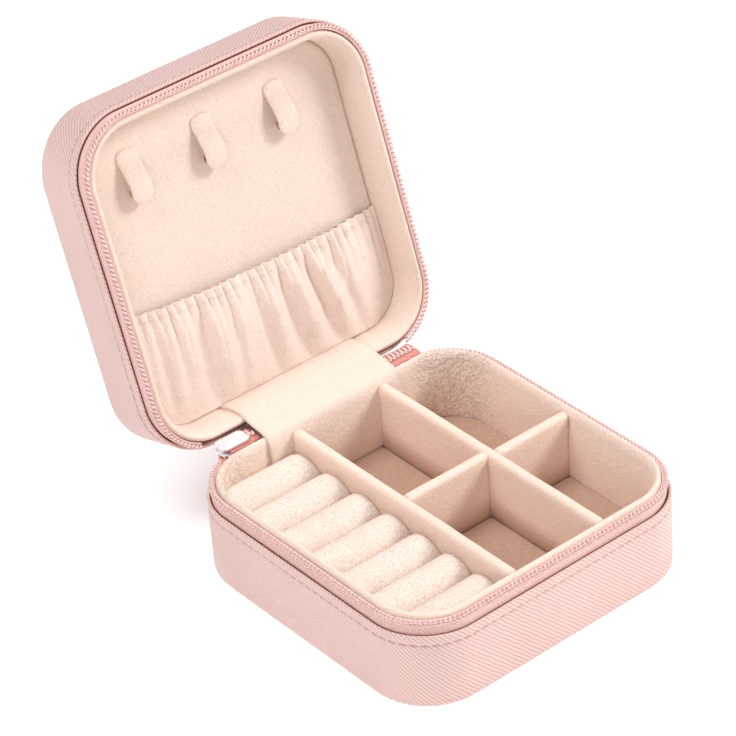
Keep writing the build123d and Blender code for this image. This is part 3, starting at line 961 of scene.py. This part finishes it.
def hinge_strip(name, path, left, right, thickness, material, seed, ripple):
    """A cloth or leather strip along a (y, z) path, from left to right."""
    dense = []
    for a, b in zip(path, path[1:]):
        steps = max(2, round((b - a).length / 0.8))
        dense += [a.lerp(b, k / steps) for k in range(steps)]
    dense.append(path[-1])
    for _ in range(6):
        dense = [dense[0]] + [
            (p + q * 2 + r) / 4 for p, q, r in zip(dense, dense[1:], dense[2:])] + [dense[-1]]
    sides = []
    for i in range(len(dense)):
        run = (dense[min(i + 1, len(dense) - 1)] - dense[max(i - 1, 0)]).normalized()
        sides.append(Vector((-run.y, run.x)))
    count = round((right - left) / RING_STEP)
    across = [left + distance for distance in even(right - left, count)]
    rows = []
    for x in across:
        top, bottom = [], []
        for k, (spot, side) in enumerate(zip(dense, sides)):
            share = k / (len(dense) - 1)
            waves = wobble(x, 40 * share, 9, seed) + 0.5 * wobble(x * 0.25, 90 * share, 5, seed + 2)
            wave = ripple * math.sin(math.pi * share) * waves
            top.append(Vector((x, *(spot + side * (thickness + wave)))))
            bottom.append(Vector((x, *(spot + side * wave))))
        rows.append(top + bottom[::-1])
    outline = [Vector((*p, 0)) for p in dense + dense[::-1]]
    shape = Shape()
    shape.closed_tube(rows, across, running_length(outline, looped=True), cap=shape.cap_strip)
    return shape.finish(name, material)


def swung(y, z):
    """A point of the shut lid, in the YZ plane, with the lid open."""
    return Vector((OPENED @ Vector((0, y, z))).yz)


def blend_strip(made, node):
    """Put a strip between the base and lid in place of its CAD node, with its transform baked into its
    mesh.
    """
    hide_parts(node)
    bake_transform(made)


def hinge():
    """The cloth inside the hinge, over both lips, and the leather behind it."""
    low, high = cad("hinge_liner")
    near = HALF - LINING_INSIDE - 0.1
    over_lip = ((0.1, 6.0), (-0.6, 1.8), (-1.4, 0.2), (-2.3, -0.15))
    path = [Vector((near, low.z + 0.05))]
    path += [Vector((near - step, BASE_LIP - drop)) for step, drop in over_lip]
    path += [swung(near - step, LID_LIP + drop) for step, drop in reversed(over_lip)]
    path.append(swung(near, LID_PANEL - 0.4))
    liner = hinge_strip("hinge_liner_cloth", path, low.x, high.x, LINER_THICKNESS, VELVET, 4, 0.25)
    blend_strip(liner, "hinge_liner")
    low, high = cad("hinge_leather")
    behind = HALF + 0.1
    path = [
        swung(behind, LID_EDGE + 7), swung(behind, LID_EDGE - BEND_START),
        Vector((behind, BASE_EDGE + BEND_START)), Vector((behind, low.z))]
    back = hinge_strip(
        "hinge_leather_skin", path, low.x, high.x, HINGE_LEATHER_THICKNESS, LEATHER, 8, 0.2)
    blend_strip(
        back, "hinge_leather")


# ---- straps and snaps

def even_path(points, step):
    """Points at equal steps along a smooth curve through a few (y, height) pairs."""
    points = [Vector(p) for p in points]
    points = [points[0] * 2 - points[1]] + points + [points[-1] * 2 - points[-2]]
    path = []
    for a, b, c, d in zip(points, points[1:], points[2:], points[3:]):
        count = max(1, round((c - b).length / step))
        for k in range(count):
            t = k / count
            path.append(0.5 * (
                b * 2 + (c - a) * t + (a * 2 - b * 5 + c * 4 - d) * t ** 2
                + (b * 3 - a - c * 3 + d) * t ** 3))
    return path + [points[-2]]


def strap(number):
    """A short velvet tab, sewn down at its root, arched, and snapped at its rounded free end."""
    node = f"necklace_strap_{number}"
    low, high = cad_shut(node)
    x_middle = (low.x + high.x) / 2
    half = (high.x - low.x) / 2
    root, end = low.y, high.y
    lift = LID_PANEL - low.z
    crest = lift - STRAP_ABOVE_PANEL
    spine = even_path([
        (root, STRAP_ABOVE_PANEL), (root + 3.2, 0.75), (root + 6.0, lift * 0.52), (root + 9.5, crest),
        (end - 2.5, crest), (end, lift - 0.8)], 0.4)
    lengths = running_length([p.to_3d() for p in spine])
    rows = []
    for i, spot in enumerate(spine):
        before, after = spine[max(i - 1, 0)], spine[min(i + 1, len(spine) - 1)]
        run = (after - before).normalized()
        side = Vector((-run.y, run.x))
        width = half
        for distance, corner in ((lengths[-1] - lengths[i], half * 0.9), (lengths[i], half * 0.6)):
            if distance < corner:
                width -= corner * (1 - math.sqrt(max(0.0, 1 - (1 - distance / corner) ** 2)))
        row = []
        for angle in angles(STRAP_SIDES):
            across = math.copysign(abs(math.cos(angle)) ** 0.6, math.cos(angle)) * width
            thick = STRAP_HALF_THICKNESS * (0.9 + 0.1 * wobble(across, lengths[i], 2.5, number))
            place = spot + side * math.sin(angle) * thick
            row.append(Vector((x_middle + across, place.x, LID_PANEL - place.y)))
        rows.append(row)
    shape = Shape()
    shape.closed_tube(rows, lengths, [0.5 * k for k in range(STRAP_SIDES + 1)])
    piece = shape.finish(node + "_velvet", VELVET, lid=True)
    attach(piece, f"strap_{number}", node)


def turned(name, profile, x, y, material, lid):
    """A lathe shape of (radius, z) points about an upright line."""
    rows = [
        [Vector((x + r * math.cos(a), y + r * math.sin(a), z)) for r, z in profile]
        for a in angles(SNAP_SIDES)]
    shape = Shape()
    across = [k * 0.4 for k in range(SNAP_SIDES + 1)]
    along = running_length([Vector((r, z, 0)) for r, z in profile])
    made = shape.grid(rows, across, along, loop_rows=True)
    shape.cap([row[0] for row in made])
    shape.cap([row[-1] for row in made])
    return shape.finish(name, material, lid)


def snap(number):
    """A press stud: a ball on a flange on the panel, and a cup under the strap."""
    for node, body in ((f"snap_socket_{number}", f"strap_{number}"), (f"snap_stud_{number}", "lid")):
        low, high = cad_shut(node)
        radius = (high.x - low.x) / 2
        flange, face = (high.z, low.z) if body == "lid" else (low.z, high.z)
        step = face - flange
        profile = [
            (0.2, flange), (radius * 0.9, flange), (radius, flange + step * 0.15),
            (radius, flange + step * 0.35), (radius * 0.72, flange + step * 0.5),
            (radius * 0.66, flange + step * 0.9), (radius * 0.55, face), (0.2, face)]
        x, y = (low.x + high.x) / 2, (low.y + high.y) / 2
        attach(turned(node + "_metal", profile, x, y, SNAP_METAL, lid=True), body, node)


# ---- gathered pocket

def mouth_height(across):
    """Where the pocket's mouth runs: a slack curve from side to side. across goes from -1 to 1."""
    low, _ = cad_shut("lid_pocket")
    return low.y + 1.4 - 1.9 * across ** 2 * (1.0 if across < 0 else 0.35) + 0.6 * across


def pleat(x):
    """The gathers at the mouth: uneven rounded pleats with sharp valleys."""
    run = x + 0.9 * wobble(x, 0, 9, 21) + 0.45 * wobble(x, 0, 3.7, 22)
    ridge = abs(math.sin(math.pi * run / PLEAT_PITCH)) ** 0.75
    return ridge * (0.75 + 0.45 * wobble(x, 3, 5, 23))


FOLDS = (
    # x at the mouth, x at the bottom, half width at the mouth and at the bottom, depth
    (-36.0, -37.0, 1.2, 2.2, 1.1), (-30.5, -31.5, 1.2, 2.4, 0.9), (-22.0, -24.0, 1.6, 4.2, 2.0),
    (-13.0, -13.5, 1.2, 2.2, 0.9), (-3.5, -1.0, 1.4, 2.4, 1.3), (5.0, 9.5, 1.5, 3.0, 1.9),
    (14.0, 21.5, 1.3, 2.4, 2.1), (23.0, 30.0, 1.2, 2.0, 0.9))


def pocket_lift(x, across, down, depth_below, deepest):
    """How far the pocket's cloth stands off the panel."""
    side = max(0.0, 1 - abs(across) ** 5)
    rest = (0.3 + 0.7 * (1 - across * across)) * (1 - down) ** 0.6
    belly = 3.6 * math.sin(math.pi * min(1.0, down ** 0.72)) ** 0.9
    lift = rest + belly
    lift += PLEAT_DEPTH * pleat(x) * math.exp(-depth_below / PLEAT_FADE)
    hold = math.sin(math.pi * min(1.0, down * 0.93 + 0.07)) ** 0.5 * min(1.0, depth_below / 9)
    for x_top, x_bottom, wide_top, wide_bottom, deep in FOLDS:
        middle = x_top + (x_bottom - x_top) * down
        wide = wide_top + (wide_bottom - wide_top) * down
        lift -= deep * hold * math.exp(-((x - middle) / wide) ** 2) * 1.3
        lift += deep * hold * 0.75 * math.exp(-((x - middle - 1.9 * wide) / (wide * 1.3)) ** 2)
    lift += 0.35 * hold * wobble(x, down * 30, 4.5, 31) + 0.12 * wobble(x, down * 30, 1.6, 33)
    lift = min(lift, deepest + PLEAT_DEPTH / 2)
    return 0.25 + max(0.0, lift) * (0.25 + 0.75 * side)


def pocket_point(across, down, raise_by=0.0):
    """A point of the pocket: across from -1 to 1, down from 0 at the mouth to 1 at the bottom."""
    mouth = mouth_height(across)
    bottom = HALF - LINING_INSIDE - 0.25
    y = mouth + (bottom - mouth) * down
    x = across * inner_half_width(y, LINING_INSIDE + 0.15)
    deepest = LID_PANEL - cad_shut("lid_pocket")[0].z
    lift = pocket_lift(x, across, down, y - mouth, deepest)
    return Vector((x, y, LID_PANEL - lift - raise_by))


def pocket_cloth():
    """The gathered cloth: one sheet, slack at its mouth and sewn to the panel at its bottom."""
    low, high = cad_shut("lid_pocket")
    rows = []
    for i in range(POCKET_COLUMNS + 1):
        across = 2 * i / POCKET_COLUMNS - 1
        rows.append([pocket_point(across, (j / POCKET_ROWS) ** 1.15) for j in range(POCKET_ROWS + 1)])
    shape = Shape()
    across_mm = [low.x + distance for distance in even(high.x - low.x, POCKET_COLUMNS)]
    shape.grid(rows, across_mm, even(POCKET_TALL, POCKET_ROWS))
    piece = shape.finish("lid_pocket_velvet", POCKET_TONE_AND_LIT_VELVET, lid=True)
    thicken = piece.modifiers.new("thickness", "SOLIDIFY")
    thicken.thickness = POCKET_THICKNESS * MM
    thicken.offset = 1.0
    attach(piece, "lid", "lid_pocket")


def pocket_thread():
    """A row of stitches under the pocket's mouth."""
    thread = Shape()
    for index in range(POCKET_THREADS):
        points = []
        for step in range(6):
            t = step / 5
            across = -0.96 + 1.92 * (index + 0.72 * t) / POCKET_THREADS
            down = THREAD_BELOW_MOUTH / (HALF - LINING_INSIDE - mouth_height(across))
            points.append(pocket_point(across, down, 0.28 * math.sin(math.pi * (0.1 + 0.8 * t))))
        thread.tube(points, POCKET_THREAD_RADIUS, THREAD_SIDES)
    attach(thread.finish("pocket_thread", POCKET_THREAD, lid=True), "lid")


def pocket_band():
    """The elastic that gathers the mouth, between the pocket and the panel."""
    rows = []
    for i in range(BAND_COLUMNS + 1):
        across = (2 * i / BAND_COLUMNS - 1) * 0.97
        row = [pocket_point(across, 0.03 + 0.10 * j / BAND_ROWS, -0.8) for j in range(BAND_ROWS + 1)]
        for point in row:
            point.z = min(point.z, LID_PANEL - 0.45)
        rows.append(row)
    band = Shape()
    band.grid(rows, [0.55 * i for i in range(BAND_COLUMNS + 1)], [0.5 * j for j in range(BAND_ROWS + 1)])
    attach(band.finish("pocket_elastic_band", ELASTIC, lid=True), "lid", "pocket_elastic")


# ---- slider, pull and the zipper's joined ends

def folded_tape(node, low, high):
    """The woven tape of a closed end, a little crumpled and arched."""
    middle = (low + high) / 2
    half = (high.y - low.y) / 2 + FOLDED_TAPE_REACH
    down = Vector((0, 0, FOLDED_TAPE_THICKNESS))
    lengths = even(high.x - low.x, FOLDED_STEPS)
    rows = []
    for length in lengths:
        x = low.x + length
        top = []
        for k in range(-5, 6):
            height = middle.z + 0.3 + 0.35 * wobble(x, k + 5, 2.6, 41) - 0.5 * (k / 5) ** 2
            top.append(Vector((x, middle.y + half * k / 5, height)))
        rows.append(top + [p - down for p in reversed(top)])
    shape = Shape()
    shape.closed_tube(rows, lengths, [k * 0.5 for k in range(23)], cap=shape.cap_strip)
    attach(shape.finish(node + "_tape", SHADED_FOLDED_TAPE), "zip_fold", node)


def locked_teeth(node, low, high):
    """Two rows of teeth wound into each other, on top of the tape of a closed end."""
    middle = (low + high) / 2
    start = low.x + 2 * WIRE_RADIUS
    room = high.x - low.x - 4 * WIRE_RADIUS
    turns = round(room / TOOTH_PITCH)
    points = []
    for step in range(turns * TURN_POINTS + 1):
        turn = step / TURN_POINTS
        angle = 2 * math.pi * turn
        points.append(Vector((
            start + room * turn / turns, middle.y + LOCKED_REACH * math.sin(angle),
            middle.z + 0.72 + LOCKED_LIFT * math.cos(angle))))
    teeth = Shape()
    teeth.tube(points, WIRE_RADIUS, WIRE_SIDES)
    attach(teeth.finish(node + "_teeth", COIL), "zip_fold")


def paint(piece, material):
    """Give a CAD piece its material."""
    piece.data.materials.clear()
    piece.data.materials.append(material)


def metal_parts():
    """The slider and pull keep their CAD shapes, with soft edges."""
    for node, material in (("zipper_slider", SLIDER_METAL), ("zipper_pull", PULL_METAL)):
        piece = frame["nodes"][node]
        paint(piece, material)
        bevel = piece.modifiers.new("soft_edges", "BEVEL")
        bevel.width = METAL_EDGE * MM
        bevel.segments = 3


def hidden_layers():
    """Boards and foam keep their CAD shapes and get their own materials."""
    for name, piece in frame["nodes"].items():
        if "board" in name:
            paint(piece, GAP_SHADE_BOARD)
        elif "foam" in name:
            paint(piece, FOAM)


# ---- studio

def studio():
    """A plain pale floor, an even sky and three soft lamps."""
    look = Look("backdrop_paper", 0.9)
    grain = look.noise(look.millimetres(), 30)
    look.colour(look.mix(grain, (0.94, 0.935, 0.93), (0.96, 0.955, 0.95)))
    look.shader.inputs["Emission Color"].default_value = (*WHITE_LIGHT, 1)
    look.shader.inputs["Emission Strength"].default_value = 0.28
    bpy.ops.mesh.primitive_plane_add(size=6)
    floor = bpy.context.object
    floor.name = "floor"
    floor.data.materials.append(look.material)

    world = bpy.data.worlds.new("studio")
    bpy.context.scene.world = world
    world.use_nodes = True
    sky = world.node_tree.nodes["Background"]
    sky.inputs["Color"].default_value = (*WHITE_LIGHT, 1)
    sky.inputs["Strength"].default_value = 0.26

    lamps = (
        # name, place in metres, size, power
        ("key_light", (1.45, -0.95, 1.3), 0.75, 31.0),
        ("sky_light", (-0.55, 0.25, 1.65), 1.0, 19.0),
        ("left_fill", (-1.2, -1.1, 0.9), 1.0, 7.5))
    for name, place, size, power in lamps:
        light = bpy.data.lights.new(name, "AREA")
        light.size = size
        light.energy = power
        light.color = WHITE_LIGHT
        lamp = bpy.data.objects.new(name, light)
        lamp.location = place
        lamp.rotation_mode = "QUATERNION"
        lamp.rotation_quaternion = (Vector(LAMP_TARGET) - Vector(place)).to_track_quat("-Z", "Y")
        bpy.context.scene.collection.objects.link(lamp)

    view = bpy.context.scene.view_settings
    view.view_transform = "Standard"
    view.look = "None"


def camera():
    """A long lens at the front left, above the box, looking down into it."""
    azimuth, elevation, roll = (math.radians(a) for a in (AZIMUTH, ELEVATION, ROLL))
    level = math.cos(elevation)
    back = Vector((math.sin(azimuth) * level, -math.cos(azimuth) * level, math.sin(elevation)))
    right = Vector((0, 0, 1)).cross(back).normalized()
    up = back.cross(right)
    rolled_right = right * math.cos(roll) + up * math.sin(roll)
    rolled_up = up * math.cos(roll) - right * math.sin(roll)
    lens = bpy.data.cameras.new("camera")
    lens.lens = LENS
    lens.sensor_width = 36
    lens.clip_start = 0.05
    lens.clip_end = 20
    made = bpy.data.objects.new("camera", lens)
    facing = Matrix((rolled_right, rolled_up, back)).transposed().to_4x4()
    made.matrix_world = Matrix.Translation((Vector(AIM) + back * DISTANCE) * MM) @ facing
    bpy.context.scene.collection.objects.link(made)
    bpy.context.scene.camera = made


camera()
studio()
leather_shells()
stitching("base_stitching", BASE_EDGE - STITCH_BELOW_EDGE, "base", False)
stitching("lid_stitching", LID_EDGE + STITCH_BELOW_EDGE, "lid", True)
linings()
floor_and_panel()
divider("ring_divider", "base", 1)
divider("middle_divider", "base", 2)
divider("left_cross_divider", "left_cross", 3)
divider("right_cross_divider", "right_cross", 4)
for roll in range(1, 8):
    ring_roll(roll)
zipper()
hinge()
for place in (1, 2, 3):
    strap(place)
    snap(place)
pocket_cloth()
pocket_thread()
pocket_band()
for end in ("left_chain_end", "right_chain_end"):
    folded_tape(end, *cad(end))
    locked_teeth(end, *cad(end))
metal_parts()
hidden_layers()
